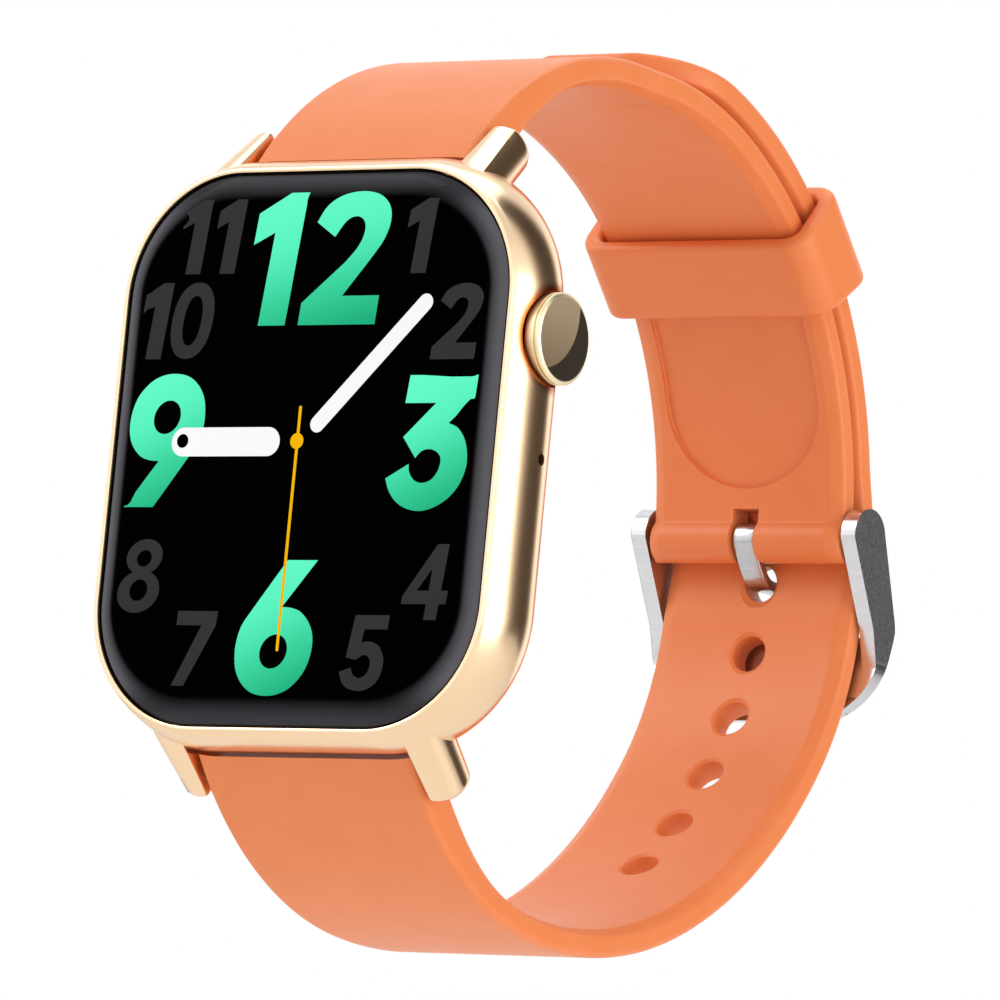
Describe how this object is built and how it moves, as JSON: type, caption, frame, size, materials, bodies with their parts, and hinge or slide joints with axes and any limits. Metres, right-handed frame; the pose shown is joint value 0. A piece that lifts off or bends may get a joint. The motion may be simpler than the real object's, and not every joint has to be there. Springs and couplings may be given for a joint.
{
  "type": "running watch",
  "caption": "Running watch with a rounded rectangular metal case, a round push crown and a silicone strap buckled into a loop with a sliding keeper.",
  "frame": {"origin": "middle of the rear optical window's outer face, which lies on the wrist", "axes": "+Z towards 12 o'clock, +X towards the crown, +Y from the case towards the wrist and the strap's loop"},
  "size_m": [0.0387, 0.0688, 0.0712],
  "materials": {
    "case_metal": "satin gold anodised",
    "crown_metal": "brushed rim and polished face",
    "front_glass": "polished, printed black round the edge",
    "window_glass": "polished, dark",
    "display": "glossy",
    "silicone": "matt moulded",
    "buckle_steel": "brushed faces, polished edges",
    "steel": "machined",
    "seal_rubber": "matt",
    "inner_plastic": "moulded",
    "circuit_board": "lacquered",
    "flex_film": "smooth film",
    "battery_foil": "matt foil",
    "antenna_block": "fired and plated",
    "rotor_weight": "sintered",
    "lamps": "clear",
    "pad_gold": "gold plated"
  },
  "bodies": {
    "case": {"case_frame": "case_metal", "front_glass": "front_glass", "glass_gasket": "seal_rubber", "display_module": "display", "inner_tray": "inner_plastic", "main_board": "circuit_board", "board_shields": "steel", "battery": "battery_foil", "gps_antenna": "antenna_block", "motor_can": "steel", "loudspeaker": "inner_plastic", "microphone": "steel", "side_flex": "flex_film", "rear_cover": "case_metal", "rear_gasket": "seal_rubber", "rear_screws": "steel", "sensor_window": "window_glass", "sensor_board": "circuit_board", "sensor_lights": "lamps", "charge_pads": "pad_gold", "charge_magnets": "steel", "crown_bush": "steel", "crown_switch": "inner_plastic", "upper_bar_tube": "steel", "lower_bar_tube": "steel", "upper_strap": "silicone", "lower_strap": "silicone", "buckle_pin": "buckle_steel"},
    "press_button": {"switch_plunger": "lamps"},
    "crown": {"crown_cap": "crown_metal", "crown_stem": "steel", "crown_seal": "seal_rubber", "crown_clip": "steel"},
    "motor_weight": {"motor_rotor": "rotor_weight"},
    "upper_left_tip": {"upper_bar_tip_left": "steel"},
    "upper_right_tip": {"upper_bar_tip_right": "steel"},
    "lower_left_tip": {"lower_bar_tip_left": "steel"},
    "lower_right_tip": {"lower_bar_tip_right": "steel"},
    "keeper_loop": {"keeper": "silicone"},
    "frame": {"buckle_frame": "buckle_steel"},
    "tongue": {"buckle_tongue": "buckle_steel"}
  },
  "joints": [
    {"name": "crown_press", "type": "slide", "parent": "case", "child": "press_button", "axis": [-1, 0, 0], "range_m": [0, 0.00035], "stiffness_N_per_m": 400, "springref_m": -0.0003},
    {"name": "crown_turn", "type": "hinge", "parent": "press_button", "child": "crown", "pos_m": [0.0176, -0.0056, 0.0089], "axis": [1, 0, 0], "continuous": true},
    {"name": "motor_spin", "type": "hinge", "parent": "case", "child": "motor_weight", "pos_m": [-0.008, -0.0048, 0.0064], "axis": [0, 1, 0], "continuous": true},
    {"name": "upper_left_release", "type": "slide", "parent": "case", "child": "upper_left_tip", "axis": [1, 0, 0], "range_m": [0, 0.00095], "stiffness_N_per_m": 200, "springref_m": -0.0005},
    {"name": "upper_right_release", "type": "slide", "parent": "case", "child": "upper_right_tip", "axis": [-1, 0, 0], "range_m": [0, 0.00095], "stiffness_N_per_m": 200, "springref_m": -0.0005},
    {"name": "lower_left_release", "type": "slide", "parent": "case", "child": "lower_left_tip", "axis": [1, 0, 0], "range_m": [0, 0.00095], "stiffness_N_per_m": 200, "springref_m": -0.0005},
    {"name": "lower_right_release", "type": "slide", "parent": "case", "child": "lower_right_tip", "axis": [-1, 0, 0], "range_m": [0, 0.00095], "stiffness_N_per_m": 200, "springref_m": -0.0005},
    {"name": "keeper_slide", "type": "hinge", "parent": "case", "child": "keeper_loop", "pos_m": [0, 0.02097, 0.00254], "axis": [1, 0, 0], "range_deg": [-20, 30]},
    {"name": "buckle_swing", "type": "hinge", "parent": "case", "child": "frame", "pos_m": [0, 0.05194, 0.00324], "axis": [1, 0, 0], "range_deg": [0, 5]},
    {"name": "tongue_swing", "type": "hinge", "parent": "case", "child": "tongue", "pos_m": [0, 0.05194, 0.00324], "axis": [1, 0, 0], "range_deg": [0, 5]}
  ],
  "couplings": [
    {"joint": "tongue_swing", "follows": "buckle_swing", "ratio": 1}
  ]
}
